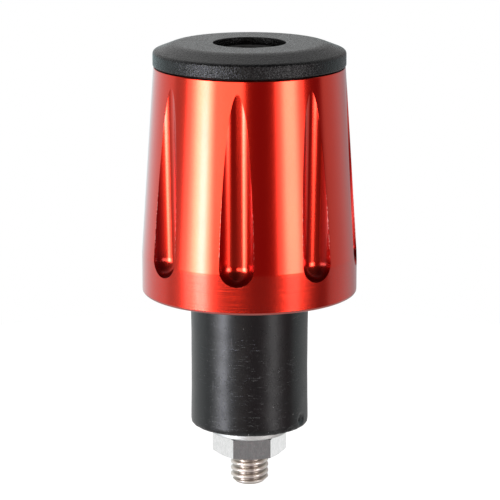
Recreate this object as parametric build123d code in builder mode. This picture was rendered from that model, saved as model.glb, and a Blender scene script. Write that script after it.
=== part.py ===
"""Handlebar end weight: a fluted, tapered weight on a rubber plug that a through bolt squeezes.

The origin is the centre of the weight's inner face, where the end of the handlebar stops.
+Z runs out along the axis to the end cap, and the rubber plug hangs below, along -Z.
"""

from build123d import *
import os
from math import cos, radians, tan

os.makedirs("parts", exist_ok=True)

# Weight: a plain band at the handlebar's end and a taper up to the cap
band_dia = 32.9
band_height = 6.1
taper_top_dia = 29.0
body_height = 34.6
inner_edge_break = 0.4
outer_edge_break = 0.15

# Flutes: straight ball-nosed cuts, parallel to the axis, that run out up the taper
flute_count = 8
flute_cutter_dia = 6.0
flute_depth = 1.82
flute_end_height = 4.2
flute_start_angle = -90

# End cap: a moulded ring with a low rim, a shallow cone and a flat top with a softened edge
cap_rim_dia = 29.2
cap_rim_height = 2.35
cap_height = 3.6
cap_flat_dia = 22.8
cap_flat_break = 0.7
cap_rim_break = 0.4
cap_foot_break = 0.2
cap_hole_break = 0.12
spigot_wall = 2.4
spigot_fit = 0.02
spigot_end_gap = 0.2
spigot_lead_in = 0.3

# Bolt: an M6 socket head, sunk in the cap's hole
bolt_dia = 6.0
head_dia = 10.0
head_height = 6.0
head_edge_break = 0.5
head_recess = 1.0
under_head_break = 0.2
key_flats = 5.0
key_depth = 3.0
key_lead_in = 0.15
tip_length = 4.9
tip_chamfer = 0.7

# Plug: rubber sleeve, plain washer and thin nut
sleeve_dia = 18.2
sleeve_length = 21.0
sleeve_edge_break = 0.3
washer_dia = 12.0
washer_thickness = 1.6
washer_edge_break = 0.2
nut_flats = 10.0
nut_height = 3.4
nut_corner_angle = 15
nut_turn = 11.0
nut_countersink = 0.35

# Clearances, each on the radius
bolt_play = 0.3
head_play = 0.5
washer_play = 0.2
thread_play = 0.05
head_bore_depth = 0.85

# Heights along the axis
cap_top = body_height + cap_height
head_top = cap_top - head_recess
head_seat = head_top - head_height
mouth_floor = head_seat + head_bore_depth
sleeve_end = -sleeve_length
washer_end = sleeve_end - washer_thickness
nut_end = washer_end - nut_height
bolt_end = nut_end - tip_length

# Radii that pieces share
band_radius = band_dia / 2
taper_top_radius = taper_top_dia / 2
head_bore_radius = head_dia / 2 + head_play
bolt_hole_radius = bolt_dia / 2 + bolt_play
spigot_radius = head_bore_radius + spigot_wall
mouth_radius = spigot_radius + spigot_fit

# The cutter's axis, and the height of its ball's centre, from the depth and end on the band
flute_cutter_radius = flute_cutter_dia / 2
flute_axis_radius = band_radius - flute_depth + flute_cutter_radius
ball_rise = (flute_cutter_radius**2 - (flute_axis_radius - band_radius) ** 2) ** 0.5
ball_height = flute_end_height + ball_rise

with BuildPart() as weight_body:
    with BuildSketch(Plane.XZ):
        with BuildLine():
            Polyline(
                (bolt_hole_radius, 0),
                (band_radius, 0),
                (band_radius, band_height),
                (taper_top_radius, body_height),
                (mouth_radius, body_height),
                (mouth_radius, mouth_floor),
                (head_bore_radius, mouth_floor),
                (head_bore_radius, head_seat),
                (bolt_hole_radius, head_seat),
                close=True,
            )
        make_face()
    revolve(axis=Axis.Z)
    rims = weight_body.edges().filter_by(GeomType.CIRCLE)
    chamfer(rims.group_by(Axis.Z)[0], inner_edge_break)
    chamfer(rims.group_by(Axis.Z)[-1].sort_by(SortBy.RADIUS)[-1], outer_edge_break)
    with PolarLocations(flute_axis_radius, flute_count, start_angle=flute_start_angle):
        with Locations((0, 0, ball_height)):
            Sphere(flute_cutter_radius, mode=Mode.SUBTRACT)
            Cylinder(
                flute_cutter_radius,
                cap_top - ball_height,
                align=(Align.CENTER, Align.CENTER, Align.MIN),
                mode=Mode.SUBTRACT,
            )
weight_body.part.label = "weight_body"
export_step(weight_body.part, "parts/weight_body.step")

with BuildPart() as end_cap:
    with BuildSketch(Plane.XZ):
        with BuildLine():
            Polyline(
                (head_bore_radius, mouth_floor + spigot_end_gap),
                (spigot_radius, mouth_floor + spigot_end_gap),
                (spigot_radius, body_height),
                (cap_rim_dia / 2, body_height),
                (cap_rim_dia / 2, body_height + cap_rim_height),
                (cap_flat_dia / 2, cap_top),
                (head_bore_radius, cap_top),
                close=True,
            )
        make_face()
    revolve(axis=Axis.Z)
    rims = end_cap.edges().filter_by(GeomType.CIRCLE)
    chamfer(rims.group_by(SortBy.RADIUS)[-1].sort_by(Axis.Z)[-1], cap_rim_break)
    chamfer(rims.group_by(SortBy.RADIUS)[-1].sort_by(Axis.Z)[0], cap_foot_break)
    chamfer(rims.group_by(Axis.Z)[-1].sort_by(SortBy.RADIUS)[-1], cap_flat_break)
    chamfer(rims.group_by(Axis.Z)[-1].sort_by(SortBy.RADIUS)[0], cap_hole_break)
    chamfer(rims.group_by(Axis.Z)[0].sort_by(SortBy.RADIUS)[-1], spigot_lead_in)
end_cap.part.label = "end_cap"
export_step(end_cap.part, "parts/end_cap.step")

with BuildPart() as clamp_bolt:
    with BuildSketch(Plane.XZ):
        with BuildLine():
            Polyline(
                (0, bolt_end),
                (bolt_dia / 2, bolt_end),
                (bolt_dia / 2, head_seat),
                (head_dia / 2, head_seat),
                (head_dia / 2, head_top),
                (0, head_top),
                close=True,
            )
        make_face()
    revolve(axis=Axis.Z)
    rims = clamp_bolt.edges().filter_by(GeomType.CIRCLE)
    chamfer(rims.group_by(Axis.Z)[0], tip_chamfer)
    chamfer(rims.group_by(Axis.Z)[-1], head_edge_break)
    chamfer(rims.group_by(Axis.Z)[1].sort_by(SortBy.RADIUS)[0], under_head_break)
    with BuildSketch(Plane.XY.offset(head_top)):
        RegularPolygon(key_flats / 2, 6, major_radius=False)
    extrude(amount=-key_depth, mode=Mode.SUBTRACT)
    key_corner_radius = key_flats / 2 / cos(radians(30))
    with Locations((0, 0, head_top)):
        Cone(
            key_corner_radius - key_lead_in,
            key_corner_radius + key_lead_in,
            2 * key_lead_in,
            mode=Mode.SUBTRACT,
        )
clamp_bolt.part.label = "clamp_bolt"
export_step(clamp_bolt.part, "parts/clamp_bolt.step")

with BuildPart() as rubber_sleeve:
    with BuildSketch():
        Circle(sleeve_dia / 2)
        Circle(bolt_hole_radius, mode=Mode.SUBTRACT)
    extrude(amount=-sleeve_length)
    rims = rubber_sleeve.edges().filter_by(GeomType.CIRCLE)
    chamfer(rims.group_by(SortBy.RADIUS)[-1], sleeve_edge_break)
rubber_sleeve.part.label = "rubber_sleeve"
export_step(rubber_sleeve.part, "parts/rubber_sleeve.step")

with BuildPart() as plain_washer:
    with BuildSketch(Plane.XY.offset(sleeve_end)):
        Circle(washer_dia / 2)
        Circle(bolt_dia / 2 + washer_play, mode=Mode.SUBTRACT)
    extrude(amount=-washer_thickness)
    rims = plain_washer.edges().filter_by(GeomType.CIRCLE)
    chamfer(rims.group_by(SortBy.RADIUS)[-1], washer_edge_break)
plain_washer.part.label = "plain_washer"
export_step(plain_washer.part, "parts/plain_washer.step")

# The nut's corners are turned off by a cone at each face, from the circle inside its flats
nut_corner_radius = nut_flats / 2 / cos(radians(30))
nut_corner_drop = (nut_corner_radius - nut_flats / 2) * tan(radians(nut_corner_angle))
nut_bore_radius = bolt_dia / 2 + thread_play

with BuildPart() as hex_nut:
    with BuildSketch(Plane.XY.offset(washer_end)):
        RegularPolygon(nut_flats / 2, 6, major_radius=False, rotation=nut_turn)
        Circle(nut_bore_radius, mode=Mode.SUBTRACT)
    extrude(amount=-nut_height)
    mouths = hex_nut.edges().filter_by(GeomType.CIRCLE)
    chamfer(mouths, nut_countersink)
    with BuildSketch(Plane.XZ):
        with BuildLine():
            Polyline(
                (0, nut_end),
                (nut_flats / 2, nut_end),
                (nut_corner_radius, nut_end + nut_corner_drop),
                (nut_corner_radius, washer_end - nut_corner_drop),
                (nut_flats / 2, washer_end),
                (0, washer_end),
                close=True,
            )
        make_face()
    revolve(axis=Axis.Z, mode=Mode.INTERSECT)
hex_nut.part.label = "hex_nut"
export_step(hex_nut.part, "parts/hex_nut.step")
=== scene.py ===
"""Looks of a handlebar end weight: cap, fluted red weight, rubber plug, washer, nut and bolt."""

import math

import bpy
import numpy as np
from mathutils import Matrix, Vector, noise


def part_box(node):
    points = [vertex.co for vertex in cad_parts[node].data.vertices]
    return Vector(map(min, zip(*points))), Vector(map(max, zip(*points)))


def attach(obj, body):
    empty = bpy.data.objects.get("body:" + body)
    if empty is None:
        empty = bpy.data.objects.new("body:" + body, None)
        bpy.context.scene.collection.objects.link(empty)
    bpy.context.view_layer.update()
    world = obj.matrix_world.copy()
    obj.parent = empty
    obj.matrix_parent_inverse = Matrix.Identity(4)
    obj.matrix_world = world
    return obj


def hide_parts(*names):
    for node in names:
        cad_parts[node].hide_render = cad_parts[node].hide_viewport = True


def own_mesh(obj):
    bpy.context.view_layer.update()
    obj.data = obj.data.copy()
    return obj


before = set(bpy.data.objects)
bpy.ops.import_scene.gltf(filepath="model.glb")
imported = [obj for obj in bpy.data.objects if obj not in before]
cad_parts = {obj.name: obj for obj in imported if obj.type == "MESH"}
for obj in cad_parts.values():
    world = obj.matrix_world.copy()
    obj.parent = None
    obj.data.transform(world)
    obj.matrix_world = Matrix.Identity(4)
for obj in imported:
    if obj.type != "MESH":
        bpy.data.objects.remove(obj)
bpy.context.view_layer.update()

MM = 0.001
TURN = 2 * math.pi


def reach(node):
    """Radius, lower end and upper end of a round CAD node, in millimetres."""
    low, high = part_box(node)
    return high[0] / MM, low[2] / MM, high[2] / MM


BAND_RADIUS, INNER_FACE, BODY_TOP = reach("weight_body")
CAP_RADIUS, SPIGOT_END, CAP_TOP = reach("end_cap")
SLEEVE_RADIUS, SLEEVE_END, SLEEVE_TOP = reach("rubber_sleeve")
WASHER_RADIUS, WASHER_END, WASHER_TOP = reach("plain_washer")
NUT_END, NUT_TOP = reach("hex_nut")[1:]
HEAD_RADIUS, BOLT_END, HEAD_TOP = reach("clamp_bolt")

# Sizes are in millimetres and angles in degrees. An edge is how far a corner is rounded along its sides.

# Weight
BAND_HEIGHT = 6.1
BAND_EDGE = 0.08
TAPER_TOP_RADIUS = 14.5
INNER_EDGE = 0.4
OUTER_EDGE = 0.15
MOUTH_RADIUS = 7.92
MOUTH_FLOOR = 32.05
MOUTH_EDGE = 0.15
HEAD_BORE_RADIUS = 5.5
HEAD_SEAT = 31.2
BOLT_HOLE_RADIUS = 3.3
BOLT_HOLE_EDGE = 0.3
BORE_EDGE = 0.1

# Flutes: the foot radius is their floor's at the weight's inner face, and the lean is for each millimetre
FLUTE_COUNT = 8
FLUTE_START_ANGLE = -90
FLUTE_CUTTER_RADIUS = 2.66
FLUTE_FOOT_RADIUS = 13.95
FLUTE_LEAN = 0.0208
FLUTE_END_HEIGHT = 4.2
FLUTE_RUN_OUT = 7.0
FLUTE_EDGE_WEAR = 0.006
BALL_HEIGHT = FLUTE_END_HEIGHT + FLUTE_CUTTER_RADIUS

# Cap
SPIGOT_RADIUS = 7.9
SPIGOT_EDGE = 0.3
RIM_TOP = 36.95
RIM_EDGE = 0.42
RIM_FOOT_EDGE = 0.18
CAP_FLAT_RADIUS = 11.4
CAP_FLAT_EDGE = 0.7
CAP_HOLE_EDGE = 0.12
CAP_RELIEF = 0.22
CAP_RELIEF_WIDTH = 1.4
CAP_RELIEF_EDGE = 0.05

# Rubber sleeve: its draw is how much shorter it is when the bolt is tight
SLEEVE_LOWER_EDGE = 0.28
SLEEVE_UPPER_EDGE = 0.3
SLEEVE_SKIN = 0.6
SLEEVE_WAIST = 0.10
UNEVEN_DEPTH = 0.02
UNEVEN_PATCHES = 0.35
TEAR_DEPTH = 0.10
TEAR_HEIGHT = 0.6
TEAR_PATCHES = 1.9
NICK_BEARING = 68
NICK_HEIGHT = 1.4
NICK_WIDTH = 6
NICK_LENGTH = 1.0
NICK_DEPTH = 0.3
NICK_RAGGEDNESS = 0.9
NICK_PATCHES = 3.1

# Washer and nut
WASHER_BORE_RADIUS = 3.2
WASHER_EDGE = 0.2
NUT_FLATS = 10.0
NUT_TURN = 11.0
NUT_FACE_SHARE = 0.98
NUT_CORNER_ANGLE = 15
NUT_BORE_RADIUS = 3.05
NUT_COUNTERSINK = 0.35

# Bolt
SHANK_RADIUS = 3.0
UNDER_HEAD_FILLET = 0.2
HEAD_FOOT_EDGE = 0.3
HEAD_EDGE = 0.5
KNURL_INSET = 0.02
KNURL_DEPTH = 0.09
KEY_FLATS = 5.0
KEY_DEPTH = 3.0
KEY_LEAD_IN = 0.15
KEY_LEAD_IN_DEPTH = 0.25
KEY_FLOOR_EDGE = 0.04
KEY_FLOOR_DISH = 0.2
KEY_FLOOR_SHARE = 0.6
THREAD_PITCH = 1.0
THREAD_LENGTH = 24.0
THREAD_RUN_OUT = 1.5
THREAD_TO_SHANK = 1.2
THREAD_CREST_RADIUS = 2.94
THREAD_ROOT_RADIUS = 2.38
THREAD_STEEPNESS = 0.72
THREAD_PHASE = 0.35
TIP_CHAMFER = 0.75
TIP_CHAMFER_INSET = 0.2
TIP_FACE_INSET = 0.25
TIP_FLAT_RADIUS = 1.2

# Meshes: a guard is how far beside an edge a row of points keeps the flat next to it flat in shading
GUARD = 0.05
CAP_GUARD = 0.02
SHARP_ANGLE = 24
CAP_COLUMNS = 256
SLEEVE_COLUMNS = 240
WASHER_COLUMNS = 160
HEX_SIDES = 6
HEX_COLUMNS = 16 * HEX_SIDES

# Red anodising: colours, among them painted shade and painted sheen, and the spans over which the flutes'
# painted-shade sides and their worn edges with painted glints fade in or out
RICH_DYE = (0.86, 0.026, 0.004, 1)
THIN_DYE = (0.80, 0.022, 0.003, 1)
BAND_SHADE_AND_SHEEN = (0.74, 0.031, 0.013, 1)
FLUTE_SIDE_SHADE = (0.36, 0.007, 0.004, 1)
LOWER_EDGE_SHADE = (0.40, 0.10, 0.085, 1)
BARE_SPECK_AND_GLINT = (0.90, 0.40, 0.36, 1)
FLUTE_SIDE_FACING = (0.58, 0.84)
WEAR_AND_GLINT_FOOT = (BALL_HEIGHT, BALL_HEIGHT + 2)
WEAR_AND_GLINT_TOP = (BALL_HEIGHT + 8, BALL_HEIGHT + 12)
RIDGE_POINTINESS = (0.51, 0.54)

# Black plastic and rubber
GRAIN_HOLLOW = (0.002, 0.002, 0.0022, 1)
GRAIN_PEAK = (0.007, 0.0068, 0.0073, 1)
CLEAN_RUBBER = (0.0022, 0.0022, 0.0024, 1)
SCUFFED_RUBBER = (0.017, 0.017, 0.0175, 1)
ENDS_AND_BORE_RUBBER = (0.001, 0.001, 0.001, 1)
PALE_DUST = (0.40, 0.39, 0.38, 1)

# Plated steel, with painted shade for the thread's roots and the bolt's head
GREY_ZINC = (0.90, 0.91, 0.905, 1)
BRIGHT_ZINC = (1.0, 1.0, 1.0, 1)
WASHER_ZINC = (0.62, 0.625, 0.61, 1)
THREAD_ROOT_SHADE = (0.42, 0.37, 0.33, 1)
THREAD_CREST_STEEL = (0.86, 0.79, 0.73, 1)
HEAD_PAINTED_SHADE = (0.014, 0.013, 0.012, 1)


class Wire:
    """An output socket of a node tree. Sums on it add Math nodes, and node adds any other node."""

    def __init__(self, tree, socket=None):
        self.tree = tree
        self.socket = socket

    def node(self, kind, settings=None, sockets=None, output=0):
        """A new node: its settings first, then the values or wires of its sockets."""
        made = self.tree.nodes.new(kind)
        for name, value in (settings or {}).items():
            if name == "stops":
                self.place_stops(made.color_ramp, value)
            else:
                setattr(made, name, value)
        for name, value in (sockets or {}).items():
            if isinstance(value, Wire):
                self.tree.links.new(value.socket, made.inputs[name])
            else:
                made.inputs[name].default_value = value
        return Wire(self.tree, made.outputs[output] if made.outputs else None)

    @staticmethod
    def place_stops(ramp, stops):
        """Grey levels at their places along a ramp."""
        while len(ramp.elements) < len(stops):
            ramp.elements.new(0.5)
        for element, (spot, level) in zip(ramp.elements, stops):
            element.position = spot
            element.color = (level, level, level, 1)

    def sum(self, operation, first, second):
        """A Math node on two values or wires."""
        return self.node("ShaderNodeMath", {"operation": operation}, {0: first, 1: second})

    def __add__(self, other):
        return self.sum("ADD", self, other)

    def __radd__(self, other):
        return self.sum("ADD", other, self)

    def __sub__(self, other):
        return self.sum("SUBTRACT", self, other)

    def __rsub__(self, other):
        return self.sum("SUBTRACT", other, self)

    def __mul__(self, other):
        return self.sum("MULTIPLY", self, other)

    def __rmul__(self, other):
        return self.sum("MULTIPLY", other, self)

    def __truediv__(self, other):
        return self.sum("DIVIDE", self, other)


def place(wire):
    """The point on the piece, in millimetres in the part's own frame."""
    point = wire.node("ShaderNodeTexCoord", output="Object")
    sockets = {"Vector": point, "Scale": 1 / MM}
    return wire.node("ShaderNodeVectorMath", {"operation": "SCALE"}, sockets)


def stretched(wire, point, factors):
    """A point with each of its three parts multiplied, to draw out a pattern."""
    return wire.node("ShaderNodeVectorMath", {"operation": "MULTIPLY"}, {0: point, 1: factors})


def cloud(wire, point, scale, detail=2.0, roughness=0.5):
    """Smooth noise from 0 to 1, with scale patches in a millimetre."""
    sockets = {"Vector": point, "Scale": scale, "Detail": detail, "Roughness": roughness}
    return wire.node("ShaderNodeTexNoise", None, sockets)


def part_of(wire, point, letter):
    """One of the three numbers of a point."""
    return wire.node("ShaderNodeSeparateXYZ", None, {"Vector": point}, output=letter)


def off_axis(wire, point):
    """A point's offset from the part's axis."""
    return stretched(wire, point, (1.0, 1.0, 0.0))


def from_axis(wire, point):
    """A point's distance from the part's axis."""
    sockets = {0: off_axis(wire, point)}
    return wire.node("ShaderNodeVectorMath", {"operation": "LENGTH"}, sockets, output="Value")


def step_between(wire, value, low, high):
    """0 below low, 1 above high, and smooth between."""
    sockets = {"Value": value, "From Min": low, "From Max": high}
    return wire.node("ShaderNodeMapRange", {"interpolation_type": "SMOOTHSTEP"}, sockets)


def mixed(wire, share, first, second):
    """A colour between two colours."""
    sockets = {"Factor": share, 6: first, 7: second}
    return wire.node("ShaderNodeMix", {"data_type": "RGBA"}, sockets, output=2)


def bumped(wire, height):
    """A normal from a height in millimetres."""
    sockets = {"Height": height, "Distance": MM, "Strength": 1.0}
    return wire.node("ShaderNodeBump", None, sockets)


def new_finish(name):
    """A material with an empty node tree, and a wire to start its nodes from."""
    finish = bpy.data.materials.new(name)
    finish.use_nodes = True
    finish.node_tree.nodes.clear()
    return finish, Wire(finish.node_tree)


def surface(wire, sockets):
    """Ends a node tree in one principled surface."""
    shader = wire.node("ShaderNodeBsdfPrincipled", None, sockets)
    wire.node("ShaderNodeOutputMaterial", None, {"Surface": shader})


def flute_sides(wire, point):
    """1 where the weight's outer skin turns well away from straight out, as on a flute's steep sides:
    these get painted shade in the colour, and a rougher milled finish.
    """
    sockets = {0: off_axis(wire, point)}
    outward = wire.node("ShaderNodeVectorMath", {"operation": "NORMALIZE"}, sockets)
    sockets = {0: outward, 1: wire.node("ShaderNodeTexCoord", output="Normal")}
    turned = wire.node("ShaderNodeVectorMath", {"operation": "DOT_PRODUCT"}, sockets, output="Value")
    return 1 - step_between(wire, turned, *FLUTE_SIDE_FACING)


def flute_wear_and_glint(wire, point, height):
    """1 on specks along the lower half of the flutes' sharp edges: rubbed bare by handling, and pale
    enough to be painted glints of light too.
    """
    handled = step_between(wire, height, *WEAR_AND_GLINT_FOOT) * (1 - step_between(wire, height, *WEAR_AND_GLINT_TOP))
    pointiness = wire.node("ShaderNodeNewGeometry", output="Pointiness")
    ridge = step_between(wire, pointiness, *RIDGE_POINTINESS)
    specks = step_between(wire, cloud(wire, point, 3.2), 0.48, 0.58)
    return handled * ridge * specks


def turning_marks(wire, point, band):
    """Height of the lines that the turning tool left round the weight, deepest on the band."""
    coarse = cloud(wire, stretched(wire, point, (0.001, 0.001, 1.0)), 2.4, detail=4.0, roughness=0.7)
    fine = cloud(wire, stretched(wire, point, (0.003, 0.003, 1.0)), 11.0)
    return (0.004 + 0.007 * band) * coarse + (0.002 + 0.010 * band) * fine


def red_anodised():
    """Turned aluminium dyed red under a clear hard skin, with tool lines that show most on the band."""
    finish, wire = new_finish("red_anodised")
    point = place(wire)
    height = part_of(wire, point, "Z")
    band = 1 - step_between(wire, height, BAND_HEIGHT - 0.4, BAND_HEIGHT + 0.2)
    # Painted shade: the lower rounded edge and the inner face get a darker colour for the shade under the
    # weight; they are also rougher.
    edge = 1 - step_between(wire, height, INNER_EDGE - 0.1, INNER_EDGE + 0.05)
    handling = cloud(wire, point, 0.35, detail=5.0, roughness=0.6)
    shaded_sides = flute_sides(wire, point)
    milled = shaded_sides * (0.4 + 0.6 * step_between(wire, height, BALL_HEIGHT - 0.6, BALL_HEIGHT + 1.6))
    rubbed_and_glinting = flute_wear_and_glint(wire, point, height)
    colour = mixed(wire, handling, RICH_DYE, THIN_DYE)
    # Painted shade and painted sheen: the band gets a darker, paler copy of the dye for how light falls on
    # it.
    colour = mixed(wire, band, colour, BAND_SHADE_AND_SHEEN)
    # Painted shade: the flutes' steep sides take a much darker copy of the dye.
    colour = mixed(wire, shaded_sides, colour, FLUTE_SIDE_SHADE)
    # Painted shade on the lower edge.
    colour = mixed(wire, edge, colour, LOWER_EDGE_SHADE)
    # Worn bare specks on the flutes' edges, pale enough to be painted glints as well.
    colour = mixed(wire, rubbed_and_glinting, colour, BARE_SPECK_AND_GLINT)
    surface(
        wire,
        {
            "Base Color": colour,
            "Metallic": 1.0,
            "Roughness": 0.15 + 0.05 * handling + 0.06 * band + 0.2 * edge + 0.22 * milled + 0.3 * rubbed_and_glinting,
            "Coat Weight": 1.0,
            "Coat Roughness": 0.16,
            "Coat IOR": 1.34,
            "Normal": bumped(wire, turning_marks(wire, point, band)),
        },
    )
    return finish


def black_cap():
    """Black moulded plastic with a sparked grain."""
    finish, wire = new_finish("black_cap")
    point = place(wire)
    grain = cloud(wire, point, 4.2, roughness=0.6)
    coarse = cloud(wire, point, 1.6)
    worn = cloud(wire, point, 0.25, detail=4.0)
    peaks = step_between(wire, grain, 0.42, 0.62)
    surface(
        wire,
        {
            "Base Color": mixed(wire, peaks, GRAIN_HOLLOW, GRAIN_PEAK),
            "Roughness": 0.26 + 0.08 * worn - 0.12 * peaks,
            "IOR": 1.36,
            "Normal": bumped(wire, 0.105 * grain + 0.02 * coarse),
        },
    )
    return finish


def black_rubber():
    """Dull moulded rubber with scuffs, scratches, pale dust, a bloom, and darker ends and bore."""
    finish, wire = new_finish("black_rubber")
    point = place(wire)
    skin = cloud(wire, point, 2.2, detail=4.0, roughness=0.6)
    bloom = cloud(wire, point, 0.12, detail=3.0)
    scuffs = cloud(wire, stretched(wire, point, (1.0, 1.0, 0.22)), 1.1, detail=5.0, roughness=0.7)
    scuffed = step_between(wire, scuffs, 0.60, 0.72)
    scratches = cloud(wire, stretched(wire, point, (0.3, 0.3, 3.0)), 2.0, detail=4.0, roughness=0.65)
    scratched = step_between(wire, scratches, 0.60, 0.68) * step_between(wire, bloom, 0.42, 0.52)
    height = part_of(wire, point, "Z")
    low_edge = 1 - step_between(wire, height, SLEEVE_END + 0.2, SLEEVE_END + 0.9)
    specks = cloud(wire, point, 2.4, detail=3.0, roughness=0.8)
    dust = step_between(wire, specks + 0.05 * low_edge, 0.70, 0.73)
    # The ends and the bore, next to the weight and the washer, are darker and rougher.
    ends_and_bore = 1 - step_between(wire, from_axis(wire, point), SLEEVE_RADIUS - 0.36, SLEEVE_RADIUS - 0.24)
    marks = 0.4 * scuffed + 0.12 * bloom + 0.9 * scratched
    colour = mixed(wire, marks, CLEAN_RUBBER, SCUFFED_RUBBER)
    colour = mixed(wire, 0.6 * dust, colour, PALE_DUST)
    surface(
        wire,
        {
            "Base Color": mixed(wire, ends_and_bore, colour, ENDS_AND_BORE_RUBBER),
            "Roughness": 0.24 + 0.10 * skin + 0.16 * scuffed + 0.3 * ends_and_bore,
            "IOR": 1.5,
            "Normal": bumped(wire, 0.006 * skin - 0.004 * scuffed - 0.01 * scratched),
        },
    )
    return finish


def bright_zinc():
    """Bright zinc plate over drawn bar, with faint lines along the flats, and duller on the washer."""
    finish, wire = new_finish("bright_zinc")
    point = place(wire)
    drawn = cloud(wire, stretched(wire, point, (1.0, 1.0, 0.12)), 6.0, detail=3.0, roughness=0.6)
    mottle = cloud(wire, point, 1.4, detail=3.0)
    patches = step_between(wire, 0.6 * mottle + 0.4 * drawn, 0.38, 0.62)
    colour = mixed(wire, patches, GREY_ZINC, BRIGHT_ZINC)
    washer = step_between(wire, part_of(wire, point, "Z"), WASHER_END - 0.05, WASHER_END + 0.05)
    surface(
        wire,
        {
            "Base Color": mixed(wire, washer, colour, WASHER_ZINC),
            "Metallic": 1.0,
            "Roughness": 0.11 + 0.09 * mottle + 0.42 * washer,
            "Normal": bumped(wire, 0.012 * drawn + 0.012 * mottle),
        },
    )
    return finish


def bolt_steel():
    """Plated bolt steel with a warm cast, with painted shade that darkens the roots of the thread and
    makes the head near-black.
    """
    finish, wire = new_finish("bolt_steel")
    point = place(wire)
    radius = from_axis(wire, point)
    crest = step_between(wire, radius, THREAD_ROOT_RADIUS + 0.05, THREAD_CREST_RADIUS - 0.1)
    # Painted shade: the head, deep in the cap's hole, is coloured near-black.
    shaded_head = step_between(wire, part_of(wire, point, "Z"), HEAD_SEAT - 0.5, HEAD_SEAT)
    mottle = cloud(wire, point, 2.5, detail=4.0)
    # Painted shade: the thread's roots are darker than its crests.
    colour = mixed(wire, crest, THREAD_ROOT_SHADE, THREAD_CREST_STEEL)
    surface(
        wire,
        {
            "Base Color": mixed(wire, shaded_head, colour, HEAD_PAINTED_SHADE),
            "Metallic": 1.0,
            "Roughness": 0.29 + 0.10 * mottle + 0.22 * shaded_head,
            "Normal": bumped(wire, 0.003 * mottle),
        },
    )
    return finish


def soften(corners, steps=4, guard=GUARD):
    """For each (radius, height, edge) corner of a closed profile, the points of a curve round it.

    A point at each side, a guard's length away, keeps the flats beside the curve flat in shading.
    """
    groups = []
    for i, (radius, height, edge) in enumerate(corners):
        here = np.array((radius, height))
        before = np.array(corners[i - 1][:2]) - here
        after = np.array(corners[(i + 1) % len(corners)][:2]) - here
        before = before / np.linalg.norm(before)
        after = after / np.linalg.norm(after)
        start = here + before * edge
        end = here + after * edge
        points = [start + before * guard]
        for t in np.linspace(0, 1, steps + 1):
            points.append((1 - t) ** 2 * start + 2 * t * (1 - t) * here + t**2 * end)
        points.append(end + after * guard)
        groups.append(np.array(points))
    return groups


def round_angles(columns):
    """Angles of evenly spaced columns round the axis."""
    return np.arange(columns) * TURN / columns


def ring(radius, height, angles):
    """One ring of points. Its radius and height may each be one number or differ from point to point."""
    heights = np.broadcast_to(height, angles.shape)
    return np.stack((radius * np.cos(angles), radius * np.sin(angles), heights), axis=-1)


def revolved(profile, columns):
    """Rings of points from a profile of (radius, height) points turned about the axis."""
    angles = round_angles(columns)
    return np.array([ring(radius, height, angles) for radius, height in profile])


def hexagon(flats, columns):
    """Radius of a hexagon at each column round it, from a corner on."""
    from_corner = (np.arange(columns) % (columns // HEX_SIDES)) * TURN / columns
    return flats / 2 / np.cos(from_corner - TURN / HEX_SIDES / 2)


def skin_rings(rings, looped):
    """Points and faces of a closed skin over rings that run up the outside and down the inside.

    A looped skin joins its last ring to its first. Any other is closed at a middle point at each end.
    """
    count, columns = rings.shape[:2]
    corner = np.arange(count * columns).reshape(count, columns)
    points = rings.reshape(-1, 3)
    ends = []
    if looped:
        corner = np.vstack((corner, corner[:1]))
    else:
        middles = np.array((rings[0].mean(axis=0), rings[-1].mean(axis=0)))
        low = len(points)
        points = np.vstack((points, middles))
        for j in range(columns):
            k = (j + 1) % columns
            ends.append((low, corner[0, k], corner[0, j]))
            ends.append((low + 1, corner[-1, j], corner[-1, k]))
    right = np.roll(corner, -1, axis=1)
    quads = np.stack((corner[:-1], right[:-1], right[1:], corner[1:]), axis=-1).reshape(-1, 4)
    return points, quads.tolist() + [tuple(int(v) for v in end) for end in ends]


def new_piece(name, rings, looped, finish, body, node):
    """A smooth-shaded piece that stands for a CAD node and rides on its body."""
    points, faces = skin_rings(rings, looped)
    mesh = bpy.data.meshes.new(name)
    mesh.from_pydata((points * MM).tolist(), [], faces)
    mesh.polygons.foreach_set("use_smooth", [True] * len(mesh.polygons))
    mesh.materials.append(finish)
    piece = bpy.data.objects.new(name, mesh)
    bpy.context.scene.collection.objects.link(piece)
    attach(piece, body)
    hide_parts(node)
    return piece


def flute_axis(height):
    """Distance of the cutter's path from the weight's axis."""
    return FLUTE_FOOT_RADIUS + FLUTE_LEAN * height + FLUTE_CUTTER_RADIUS


def flute_reach(height):
    """The cutter's radius at a height: full above its ball's centre, and the ball's own below."""
    drop = np.minimum(height - BALL_HEIGHT, 0)
    return np.sqrt(np.maximum(FLUTE_CUTTER_RADIUS**2 - drop**2, 0))


def flute_opening(radius, height):
    """Half the angle, seen from the axis, that a flute opens in a wall of that radius."""
    axis = flute_axis(height)
    spread = radius**2 + axis**2 - flute_reach(height) ** 2
    return np.arccos(np.clip(spread / (2 * radius * axis), -1, 1))


def flute_floor(angle, height):
    """Radius of a flute's floor at an angle from its middle, or far out where the cutter ends."""
    axis = flute_axis(height)
    inside = flute_reach(height) ** 2 - (axis * np.sin(angle)) ** 2
    floor = axis * np.cos(angle) - np.sqrt(np.maximum(inside, 0))
    return np.where(inside > 0, floor, 2 * axis)


def smooth_least(first, second, width):
    """The smaller of two radii, with the edge where they cross worn round over a width."""
    share = np.clip(0.5 + 0.5 * (second - first) / width, 0, 1)
    return second + (first - second) * share - width * share * (1 - share)


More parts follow.
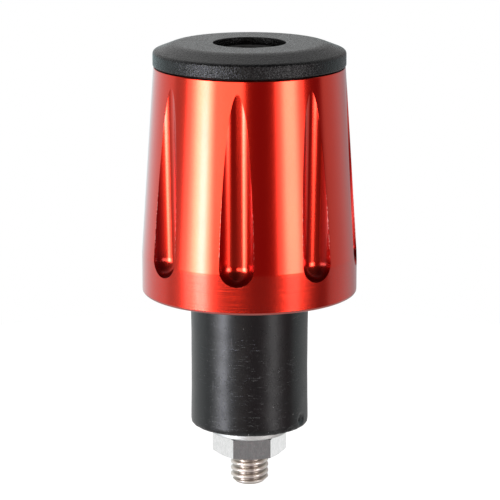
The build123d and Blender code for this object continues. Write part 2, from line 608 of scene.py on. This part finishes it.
def wall_angles(opening, steps=12, narrowest=0.01):
    """Angles round one flute's share of the wall, crowded towards the flute's two edges."""
    half_share = TURN / FLUTE_COUNT / 2
    opening = max(opening, narrowest)
    inside = np.sin(np.linspace(0, 1, steps + 1) * TURN / 4) * opening
    outside = np.linspace(0, 1, steps + 1)[1:] ** 2 * (half_share - opening) + opening
    half = np.concatenate((inside, outside))
    return np.concatenate((-half[:0:-1], half[:-1]))


def body_row(radius, height, fluted):
    """One ring of the weight. On the outer wall its columns follow the flutes' edges."""
    opening = flute_opening(radius, height) if fluted else 0.0
    offsets = wall_angles(opening)
    radii = np.full(len(offsets), radius)
    if fluted:
        radii = smooth_least(radii, flute_floor(offsets, height), FLUTE_EDGE_WEAR)
    middles = round_angles(FLUTE_COUNT) + math.radians(FLUTE_START_ANGLE)
    angles = (middles[:, None] + offsets).ravel()
    return ring(np.tile(radii, FLUTE_COUNT), height, angles)


def wall_heights():
    """Heights of the rings up the outer wall, close together at the flutes' round ends."""
    run_out_start = BODY_TOP - FLUTE_RUN_OUT
    below = np.linspace(0.6, FLUTE_END_HEIGHT - 0.1, 8)
    round_end = FLUTE_END_HEIGHT - 0.02 + (FLUTE_CUTTER_RADIUS + 0.1) * np.linspace(0, 1, 32) ** 2
    straight = np.linspace(BALL_HEIGHT + 0.3, run_out_start, 36)
    run_out = np.linspace(run_out_start + 0.3, BODY_TOP - 0.4, 26)
    return np.concatenate((below, round_end, straight, run_out))


def weight_rings():
    """Rings of the weight: up its fluted wall, down into its mouth and through its bolt hole."""
    groups = soften(
        [
            (BOLT_HOLE_RADIUS, INNER_FACE, BOLT_HOLE_EDGE),
            (BAND_RADIUS, INNER_FACE, INNER_EDGE),
            (BAND_RADIUS, BAND_HEIGHT, BAND_EDGE),
            (TAPER_TOP_RADIUS, BODY_TOP, OUTER_EDGE),
            (MOUTH_RADIUS, BODY_TOP, MOUTH_EDGE),
            (MOUTH_RADIUS, MOUTH_FLOOR, BORE_EDGE),
            (HEAD_BORE_RADIUS, MOUTH_FLOOR, BORE_EDGE),
            (HEAD_BORE_RADIUS, HEAD_SEAT, BORE_EDGE),
            (BOLT_HOLE_RADIUS, HEAD_SEAT, BORE_EDGE),
        ]
    )
    wall = np.vstack((groups[1][-1:], groups[2], groups[3][:1]))
    heights = np.unique(np.concatenate((wall[:, 1], wall_heights())))
    rows = [body_row(radius, height, False) for radius, height in np.vstack(groups[:2])[:-1]]
    rows += [body_row(np.interp(h, wall[:, 1], wall[:, 0]), h, True) for h in heights]
    rows += [body_row(radius, height, False) for radius, height in np.vstack(groups[3:])[1:]]
    return np.array(rows)


def cap_rings():
    """Rings of the cap: spigot, relieved seat, rim with a round corner, cone, flat and hole."""
    relief_radius = CAP_RADIUS - CAP_RELIEF_WIDTH
    rim_foot = BODY_TOP + CAP_RELIEF
    groups = soften(
        [
            (HEAD_BORE_RADIUS, SPIGOT_END, BORE_EDGE),
            (SPIGOT_RADIUS, SPIGOT_END, SPIGOT_EDGE),
            (SPIGOT_RADIUS, BODY_TOP, BORE_EDGE),
            (relief_radius, BODY_TOP, CAP_RELIEF_EDGE),
            (relief_radius, rim_foot, CAP_RELIEF_EDGE),
            (CAP_RADIUS, rim_foot, RIM_FOOT_EDGE),
            (CAP_RADIUS, RIM_TOP, RIM_EDGE),
            (CAP_FLAT_RADIUS, CAP_TOP, CAP_FLAT_EDGE),
            (HEAD_BORE_RADIUS, CAP_TOP, CAP_HOLE_EDGE),
        ],
        guard=CAP_GUARD,
    )
    return revolved(np.vstack(groups), CAP_COLUMNS)


def washer_rings():
    """Rings of the plain washer, with rounded edges."""
    groups = soften(
        [
            (WASHER_BORE_RADIUS, WASHER_END, BORE_EDGE),
            (WASHER_RADIUS, WASHER_END, WASHER_EDGE),
            (WASHER_RADIUS, WASHER_TOP, WASHER_EDGE),
            (WASHER_BORE_RADIUS, WASHER_TOP, BORE_EDGE),
        ]
    )
    return revolved(np.vstack(groups), WASHER_COLUMNS)


def sleeve_rings():
    """Rings of the rubber sleeve: a little waisted and uneven, with a torn lower edge and a nick."""
    groups = soften(
        [
            (BOLT_HOLE_RADIUS, SLEEVE_END, BOLT_HOLE_EDGE),
            (SLEEVE_RADIUS, SLEEVE_END, SLEEVE_LOWER_EDGE),
            (SLEEVE_RADIUS, SLEEVE_TOP, SLEEVE_UPPER_EDGE),
            (BOLT_HOLE_RADIUS, SLEEVE_TOP, BOLT_HOLE_EDGE),
        ]
    )
    heights = np.linspace(SLEEVE_END + 0.5, SLEEVE_TOP - 0.5, 90)
    wall = np.stack((np.full(len(heights), SLEEVE_RADIUS), heights), axis=-1)
    rings = revolved(np.vstack((*groups[:2], wall, *groups[2:])), SLEEVE_COLUMNS)
    for point in rings.reshape(-1, 3):
        wear_rubber(point)
    return rings


def wear_rubber(point):
    """Moves a point of the sleeve's skin inwards for its waist, unevenness, torn lower edge and nick."""
    radius = math.hypot(point[0], point[1])
    if radius < SLEEVE_RADIUS - SLEEVE_SKIN:
        return
    up = point[2] - SLEEVE_END
    along = up / (SLEEVE_TOP - SLEEVE_END)
    waist = SLEEVE_WAIST * (1 - (2 * along - 1) ** 2)
    uneven = UNEVEN_DEPTH * (1 + noise.noise(Vector(point) * UNEVEN_PATCHES))
    near_edge = max(0.0, 1 - up / TEAR_HEIGHT)
    torn = TEAR_DEPTH * near_edge * (1 + noise.noise(Vector(point) * TEAR_PATCHES))
    shrunk = (radius - waist - uneven - torn - nick(point)) / radius
    point[0] *= shrunk
    point[1] *= shrunk


def nick(point):
    """Depth, at a point, of the ragged nick near the rubber's lower edge."""
    bearing = math.degrees(math.atan2(point[0], -point[1]))
    across = (bearing - NICK_BEARING) / NICK_WIDTH
    along = (point[2] - SLEEVE_END - NICK_HEIGHT) / NICK_LENGTH
    inside = max(0.0, 1 - across**2 - along**2)
    ragged = 1 + NICK_RAGGEDNESS * noise.noise(Vector(point) * NICK_PATCHES)
    return NICK_DEPTH * inside * ragged


def nut_rings():
    """Rings of the hexagon nut: chamfered faces, flats, countersunk mouths and bore."""
    angles = round_angles(HEX_COLUMNS) + math.radians(NUT_TURN)
    flats = hexagon(NUT_FLATS, HEX_COLUMNS)
    face = NUT_FLATS / 2 * NUT_FACE_SHARE
    drop = (flats - face) * math.tan(math.radians(NUT_CORNER_ANGLE))
    mouth = NUT_BORE_RADIUS + NUT_COUNTERSINK
    rows = [
        (mouth, NUT_END),
        ((mouth + face) / 2, NUT_END),
        (face, NUT_END),
        (flats, NUT_END + drop),
        (flats, (NUT_END + NUT_TOP) / 2),
        (flats, NUT_TOP - drop),
        (face, NUT_TOP),
        (mouth, NUT_TOP),
        (NUT_BORE_RADIUS, NUT_TOP - NUT_COUNTERSINK),
        (NUT_BORE_RADIUS, NUT_END + NUT_COUNTERSINK),
    ]
    return np.array([ring(radius, height, angles) for radius, height in rows])


def thread_rows(angles, steps=16):
    """Rows of a right-hand thread with rounded crests, over a chamfered tip and running out above."""
    depth = THREAD_CREST_RADIUS - THREAD_ROOT_RADIUS
    chamfer_foot = THREAD_ROOT_RADIUS - TIP_CHAMFER_INSET
    chamfer_slope = (THREAD_CREST_RADIUS - chamfer_foot) / TIP_CHAMFER
    rows = [(TIP_FLAT_RADIUS, BOLT_END), (THREAD_ROOT_RADIUS - TIP_FACE_INSET, BOLT_END)]
    for i in range(1, int(THREAD_LENGTH * steps / THREAD_PITCH) + 1):
        height = i * THREAD_PITCH / steps
        phase = (height / THREAD_PITCH - angles / TURN + THREAD_PHASE) % 1.0
        ridge = np.clip(0.5 + THREAD_STEEPNESS * np.cos(phase * TURN), 0, 1)
        fade = np.clip((height - THREAD_LENGTH + THREAD_RUN_OUT) / THREAD_RUN_OUT, 0, 1)
        ridge = ridge + (1 - ridge) * fade
        radius = THREAD_ROOT_RADIUS + depth * ridge
        chamfer = chamfer_foot + height * chamfer_slope
        rows.append((np.minimum(radius, chamfer), BOLT_END + height))
    return rows


def head_rows():
    """Rows of the bolt's plain shank above its thread, and of its knurled head with softened edges."""
    foot = HEAD_FOOT_EDGE / 3
    knurl = HEAD_RADIUS - KNURL_INSET - KNURL_DEPTH * (np.arange(HEX_COLUMNS) % 2)
    return [
        (SHANK_RADIUS, BOLT_END + THREAD_LENGTH + THREAD_TO_SHANK),
        (SHANK_RADIUS, HEAD_SEAT - UNDER_HEAD_FILLET),
        (SHANK_RADIUS + 0.3 * UNDER_HEAD_FILLET, HEAD_SEAT - 0.3 * UNDER_HEAD_FILLET),
        (SHANK_RADIUS + UNDER_HEAD_FILLET, HEAD_SEAT),
        (HEAD_RADIUS - HEAD_FOOT_EDGE, HEAD_SEAT),
        (HEAD_RADIUS - foot, HEAD_SEAT + foot),
        (knurl, HEAD_SEAT + HEAD_FOOT_EDGE),
        (knurl, HEAD_TOP - 1.2 * HEAD_EDGE),
        (HEAD_RADIUS - 0.2 * HEAD_EDGE, HEAD_TOP - HEAD_EDGE),
        (HEAD_RADIUS - 0.6 * HEAD_EDGE, HEAD_TOP - 0.2 * HEAD_EDGE),
        (HEAD_RADIUS - HEAD_EDGE, HEAD_TOP),
    ]


def key_rows():
    """Rows of the socket for a hexagon key, from its round lead-in down to its dished floor."""
    socket = hexagon(KEY_FLATS, HEX_COLUMNS)
    lead_in = KEY_FLATS / 2 / math.cos(TURN / HEX_SIDES / 2) + KEY_LEAD_IN
    floor = HEAD_TOP - KEY_DEPTH
    return [
        (lead_in + GUARD, HEAD_TOP),
        (lead_in, HEAD_TOP),
        (socket, HEAD_TOP - KEY_LEAD_IN_DEPTH),
        (socket, HEAD_TOP - KEY_LEAD_IN_DEPTH - 2 * GUARD),
        (socket, floor + GUARD),
        (socket - KEY_FLOOR_EDGE, floor),
        (socket * KEY_FLOOR_SHARE, floor - KEY_FLOOR_DISH),
    ]


def bolt_rings():
    """Rings of the bolt, from its tip up the thread and shank, over the head and into its socket."""
    angles = round_angles(HEX_COLUMNS)
    rows = thread_rows(angles) + head_rows() + key_rows()
    return np.array([ring(radius, height, angles) for radius, height in rows])


def make_pieces():
    """Every piece of the object, each in place of its CAD node."""
    zinc = bright_zinc()
    weight = new_piece(
        "fluted_weight", weight_rings(), True, red_anodised(), "weight", "weight_body"
    )
    weight.data.set_sharp_from_angle(angle=math.radians(SHARP_ANGLE))
    new_piece("moulded_cap", cap_rings(), True, black_cap(), "weight", "end_cap")
    sleeve = new_piece(
        "expander_sleeve", sleeve_rings(), True, black_rubber(), "weight", "rubber_sleeve"
    )
    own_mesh(sleeve)
    new_piece("washer", washer_rings(), True, zinc, "nut", "plain_washer")
    nut = new_piece("thin_nut", nut_rings(), True, zinc, "nut", "hex_nut")
    nut.data.set_sharp_from_angle(angle=math.radians(SHARP_ANGLE))
    new_piece("socket_bolt", bolt_rings(), False, bolt_steel(), "bolt", "clamp_bolt")


# Camera, fitted to the photograph's round edges: azimuth and height of view, and the point it looks at
VIEW_AZIMUTH = 6.8
VIEW_ELEVATION = 13.26
VIEW_DISTANCE = 368.4
VIEW_TARGET_HEIGHT = 6.13
VIEW_TARGET_SIDE = 0.08
LENS = 173.0
CLIP_START = 0.01

# Studio: azimuths are measured from the camera, to the right
FLOOR_RADIUS = 105.0
FLOOR_GREY = (0.85, 0.85, 0.85, 1)
FLOOR_GLOW = 0.85
DOME_RADIUS = 900.0
LAMP_DISTANCE = 520.0
LAMP_SETBACK = 2.0
SOFT_LIGHT = 0.25
WHITE = (1, 1, 1, 1)

# Softboxes: name, span of azimuths, span of elevations, brightness and colour
NEUTRAL = (1, 1, 1)
SOFTBOXES = (
    ("key_skirt", (-76.5, -38), (-10, 10), 2.2, NEUTRAL),
    ("key_outer", (-69, -40), (-10, 10), 3.5, NEUTRAL),
    ("key_middle", (-64, -43), (-10, 10), 6.0, NEUTRAL),
    ("key_inner", (-60, -46.5), (-8, 10), 6.0, NEUTRAL),
    ("key_core", (-55.5, -47.5), (-9, 1), 9.0, (0.80, 0.86, 2.0)),
    ("key_foot", (-59, -46), (-17, -10), 7.0, NEUTRAL),
    ("key_foot_skirt", (-72, -43), (-17, -10), 2.4, NEUTRAL),
    ("left_reflector", (-37.5, -6), (-5.5, 10), 3.4, (1, 1, 0.9)),
    ("right_skirt", (30, 65), (-9.5, 10), 2.0, NEUTRAL),
    ("right_softbox", (36, 57.5), (-8.8, 10), 3.6, NEUTRAL),
    ("right_centre", (39.5, 53.5), (-8.8, 10), 4.6, NEUTRAL),
    ("right_foot", (40, 53), (-17, -10.5), 1.4, NEUTRAL),
    ("side_card", (112, 142), (-30, -17.8), 0.34, NEUTRAL),
)

# Brightness of the studio that the metal reflects, by azimuth
DOME_LEVELS = (
    (-180, 0.75),
    (-140, 0.80),
    (-99, 0.82),
    (-95, 0.48),
    (-76, 0.50),
    (-40, 0.50),
    (-20, 0.26),
    (-4, 0.195),
    (20, 0.175),
    (40, 0.30),
    (66, 0.30),
    (76, 0.16),
    (90, 0.16),
    (94, 0.52),
    (125, 0.54),
    (145, 0.42),
    (168, 0.42),
    (180, 0.75),
)
WARM_TONE = (1.08, 0.22, 0.36, 1)
COOL_TONE = (0.93, 1.15, 1.18, 1)
BELOW_LEVEL = 0.8
OVERHEAD_LEVEL = 0.5
ABOVE_SHADE = 0.8

# Spans over which the dome's zones fade in or out: of brightness for the dim part, and otherwise of height
# or, for the back and front, of distance towards the camera, as shares of the dome's radius
DIM_LEVELS = (0.2, 0.5)
WARM_FOOT = (-0.272, -0.232)
WARM_TOP = (0.1, 0.25)
COOL_FOOT = (-0.25, -0.215)
COOL_TOP = (0.0, 0.12)
ABOVE_FOOT = (0.17, 0.40)
ABOVE_BACK = (-0.25, 0.35)
BELOW_TOP = (-0.56, -0.45)
OVERHEAD_FOOT = (0.6, 0.85)
OVERHEAD_FRONT = (-0.5, -0.2)


def from_object(azimuth, elevation, distance):
    """A point at a bearing from the camera's side, in metres."""
    bearing = math.radians(VIEW_AZIMUTH + azimuth)
    tilt = math.radians(elevation)
    flat = distance * MM * math.cos(tilt)
    return Vector((flat * math.sin(bearing), -flat * math.cos(bearing), distance * MM * math.sin(tilt)))


def aim(thing, target):
    """Turns a camera or lamp to look at a point."""
    thing.rotation_euler = (target - thing.location).to_track_quat("-Z", "Y").to_euler()


def make_camera():
    """The scene's camera, at the photograph's viewing angle."""
    camera = bpy.data.objects.new("camera", bpy.data.cameras.new("camera"))
    bpy.context.scene.collection.objects.link(camera)
    camera.data.lens = LENS
    camera.data.clip_start = CLIP_START
    target = from_object(90, 0, VIEW_TARGET_SIDE) + Vector((0, 0, VIEW_TARGET_HEIGHT * MM))
    camera.location = target + from_object(0, VIEW_ELEVATION, VIEW_DISTANCE)
    aim(camera, target)
    bpy.context.scene.camera = camera


def softbox(name, azimuths, elevations, level, colour):
    """An area lamp of a brightness that fills a span of azimuths and of elevations.

    A wider lamp stands further back, by a setback for each degree, so that no two share a plane.
    """
    span = azimuths[1] - azimuths[0]
    distance = LAMP_DISTANCE + LAMP_SETBACK * span
    across = math.radians(span)
    upward = math.radians(elevations[1] - elevations[0])
    lamp = bpy.data.lights.new(name, "AREA")
    lamp.shape = "RECTANGLE"
    lamp.size = 2 * distance * MM * math.tan(across / 2)
    lamp.size_y = 2 * distance * MM * math.tan(upward / 2)
    lamp.energy = level * lamp.size * lamp.size_y * math.pi
    lamp.color = colour
    box = bpy.data.objects.new(name, lamp)
    bpy.context.scene.collection.objects.link(box)
    box.location = from_object(sum(azimuths) / 2, sum(elevations) / 2, distance)
    aim(box, Vector((0, 0, 0)))
    box.visible_camera = False


def stage_piece(name, points, faces, material):
    """A mesh of the studio, which is no part of the object."""
    mesh = bpy.data.meshes.new(name)
    mesh.from_pydata(points, [], faces)
    mesh.materials.append(material)
    piece = bpy.data.objects.new(name, mesh)
    bpy.context.scene.collection.objects.link(piece)
    return piece


def circle_points(radius, height, columns):
    """Points of a level circle about the axis, in metres."""
    angles = round_angles(columns)
    return [(radius * MM * math.sin(a), -radius * MM * math.cos(a), height * MM) for a in angles]


def seen(wire):
    """1 for what the camera, a reflection or a view through glass looks at."""
    looks = [
        wire.node("ShaderNodeLightPath", output=path)
        for path in ("Is Camera Ray", "Is Glossy Ray", "Is Transmission Ray")
    ]
    return looks[0] + looks[1] + looks[2]


def floor_material():
    """A pale floor that reads as white where no shadow falls."""
    material, wire = new_finish("pale_floor")
    matte = wire.node("ShaderNodeBsdfDiffuse", None, {"Color": FLOOR_GREY})
    lit = wire.node("ShaderNodeEmission", None, {"Strength": FLOOR_GLOW * seen(wire)})
    both = wire.node("ShaderNodeAddShader", None, {0: matte, 1: lit})
    wire.node("ShaderNodeOutputMaterial", None, {"Surface": both})
    return material


def dome_tone(wire, level, upward):
    """The dome's colour: warm on the dim part of its sides, cool on their other low part, else white."""
    girdle = step_between(wire, upward, *WARM_FOOT) * (1 - step_between(wire, upward, *WARM_TOP))
    warm = (1 - step_between(wire, level, *DIM_LEVELS)) * girdle
    cool = step_between(wire, upward, *COOL_FOOT) * (1 - step_between(wire, upward, *COOL_TOP))
    return mixed(wire, warm, mixed(wire, cool, WHITE, COOL_TONE), WARM_TONE)


def dome_material():
    """A studio that is pale behind and below the weight, dim behind the camera and dark above it.

    High up behind the weight it is brighter.
    """
    material, wire = new_finish("studio_dome")
    point = place(wire)
    bearing = math.radians(VIEW_AZIMUTH)
    x = part_of(wire, point, "X")
    y = part_of(wire, point, "Y")
    right = x * math.cos(bearing) + y * math.sin(bearing)
    front = x * math.sin(bearing) - y * math.cos(bearing)
    azimuth = wire.node("ShaderNodeMath", {"operation": "ARCTAN2"}, {0: right, 1: front})
    stops = [((degrees + 180) / 360, level) for degrees, level in DOME_LEVELS]
    level = wire.node("ShaderNodeValToRGB", {"stops": stops}, {"Fac": azimuth / TURN + 0.5})
    forward = front / DOME_RADIUS
    upward = part_of(wire, point, "Z") / DOME_RADIUS
    above = step_between(wire, upward, *ABOVE_FOOT) * step_between(wire, forward, *ABOVE_BACK)
    below = 1 - step_between(wire, upward, *BELOW_TOP)
    behind = 1 - step_between(wire, forward, *OVERHEAD_FRONT)
    overhead = step_between(wire, upward, *OVERHEAD_FOOT) * behind
    shade = level * (1 - ABOVE_SHADE * above)
    strength = shade + below * (BELOW_LEVEL - shade) + OVERHEAD_LEVEL * overhead
    sockets = {"Color": dome_tone(wire, level, upward), "Strength": strength}
    lit = wire.node("ShaderNodeEmission", None, sockets)
    wire.node("ShaderNodeOutputMaterial", None, {"Surface": lit})
    return material


def make_dome(columns=64, rows=32):
    """A dome about the whole studio, which only reflections see."""
    points = []
    for i in range(rows + 1):
        tilt = math.pi * (i / rows - 0.5)
        points += circle_points(DOME_RADIUS * math.cos(tilt), DOME_RADIUS * math.sin(tilt), columns)
    faces = []
    for i in range(rows):
        for j in range(columns):
            k = (j + 1) % columns
            low = i * columns
            high = low + columns
            faces.append((low + j, low + k, high + k, high + j))
    dome = stage_piece("studio_dome", points, faces, dome_material())
    dome.visible_camera = False
    dome.visible_diffuse = False
    dome.visible_shadow = False
    dome.visible_transmission = False


def make_floor(columns=96):
    """A round floor under the bolt's tip, which catches the shadow."""
    rim = circle_points(FLOOR_RADIUS, BOLT_END, columns)
    floor = stage_piece("floor", rim, [tuple(range(columns))], floor_material())
    floor.visible_glossy = False


def surround():
    """White where the camera and reflections look, and a soft even light otherwise."""
    world = bpy.data.worlds.new("surround")
    bpy.context.scene.world = world
    world.use_nodes = True
    world.node_tree.nodes.clear()
    wire = Wire(world.node_tree)
    white = wire.node("ShaderNodeBackground", None, {"Color": WHITE, "Strength": 1.0})
    soft = wire.node("ShaderNodeBackground", None, {"Color": WHITE, "Strength": SOFT_LIGHT})
    both = wire.node("ShaderNodeMixShader", None, {"Fac": seen(wire), 1: soft, 2: white})
    wire.node("ShaderNodeOutputWorld", None, {"Surface": both})


def make_studio():
    """Floor, dome, softboxes and a white surround."""
    make_floor()
    make_dome()
    for lamp in SOFTBOXES:
        softbox(*lamp)
    surround()


make_pieces()
make_camera()
make_studio()
bpy.context.scene.view_settings.view_transform = "Standard"
